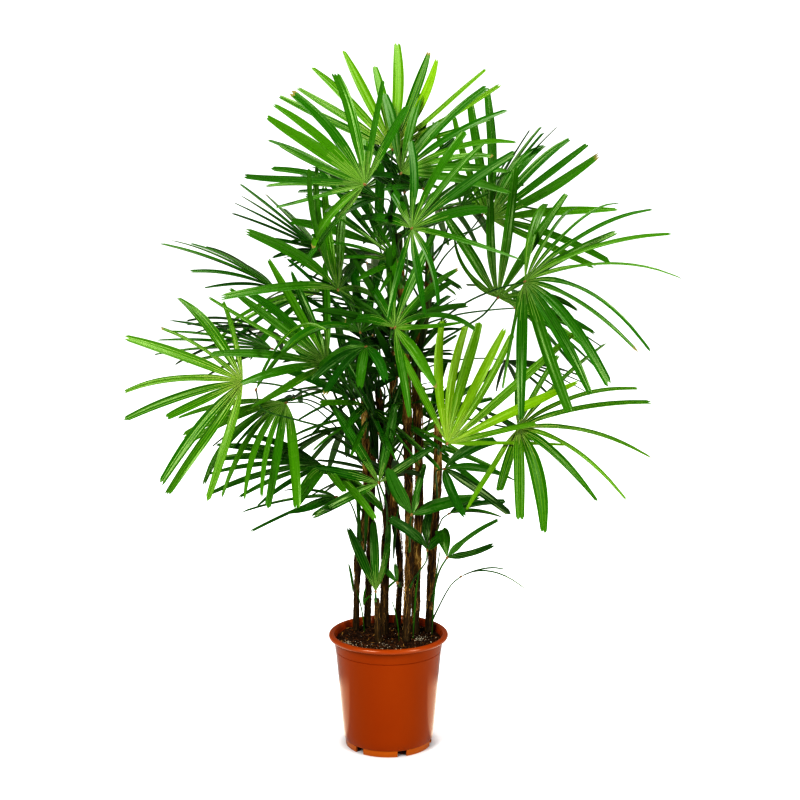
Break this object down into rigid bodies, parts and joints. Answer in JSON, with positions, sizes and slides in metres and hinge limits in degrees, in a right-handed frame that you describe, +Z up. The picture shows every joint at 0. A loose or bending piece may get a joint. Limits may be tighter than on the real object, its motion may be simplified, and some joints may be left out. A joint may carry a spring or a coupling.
{
  "type": "potted lady palm",
  "caption": "Indoor lady palm in a round nursery pot: a clump of slender fibrous canes with stalked, fan-shaped leaves.",
  "frame": {"origin": "on the pot's axis, in the plane that the pot stands on", "axes": "+Z up along the pot's axis, -Y towards the front of the plant, +X to the right as seen from the front"},
  "size_m": [1.1735, 0.8804, 1.5771],
  "materials": {
    "pot_plastic": "satin moulded plastic",
    "soil": "loose, matt, with pale grains",
    "stem": "fibrous, matt",
    "leaf_bright": "waxy, satin",
    "leaf_mid": "waxy, satin",
    "leaf_dark": "waxy, satin"
  },
  "bodies": {
    "root": {"pot": "pot_plastic", "soil": "soil", "cane_left": "stem", "cane_left_back": "stem", "cane_short_front": "stem", "cane_short_mid": "stem", "cane_slim": "stem", "cane_tall_left": "stem", "cane_tall_right": "stem", "cane_stub": "stem", "cane_right": "stem", "cane_back": "stem", "frond_top": "leaf_bright", "frond_top_right": "leaf_mid", "frond_top_left": "leaf_mid", "frond_upper_front": "leaf_mid", "frond_upper_right": "leaf_mid", "frond_right": "leaf_mid", "frond_right_wide": "leaf_mid", "frond_right_bright": "leaf_bright", "frond_right_low": "leaf_bright", "frond_middle_left": "leaf_mid", "frond_middle_front": "leaf_mid", "frond_left_wide": "leaf_bright", "frond_left_arching": "leaf_bright", "frond_left_low": "leaf_mid", "frond_left": "leaf_mid", "frond_left_edge": "leaf_dark", "frond_left_behind": "leaf_dark", "frond_upper_left": "leaf_dark", "frond_upper_middle": "leaf_dark", "frond_upper_right_back": "leaf_dark", "frond_middle_dark": "leaf_dark", "frond_middle_low": "leaf_dark", "frond_lower_middle": "leaf_dark", "frond_lower_left": "leaf_dark", "frond_lower_left_front": "leaf_mid", "frond_lower_left_small": "leaf_dark", "frond_lower_front": "leaf_mid", "frond_middle_small": "leaf_dark", "frond_lower_broad": "leaf_dark", "frond_lower_right": "leaf_dark", "frond_lower_right_back": "leaf_dark", "frond_foot_front": "leaf_dark", "frond_foot_right": "leaf_dark", "frond_foot_thin": "leaf_dark", "frond_foot_upright": "leaf_mid", "frond_foot_small": "leaf_dark", "frond_back_top": "leaf_mid", "frond_back_top_right": "leaf_mid", "frond_back_upper": "leaf_mid", "frond_back_left": "leaf_mid", "frond_back_right": "leaf_mid", "frond_back_middle": "leaf_dark", "frond_back_side": "leaf_dark", "frond_back_low_left": "leaf_dark", "frond_back_low_right": "leaf_dark", "frond_back_foot": "leaf_dark", "frond_back_left_side": "leaf_dark"}
  },
  "joints": []
}
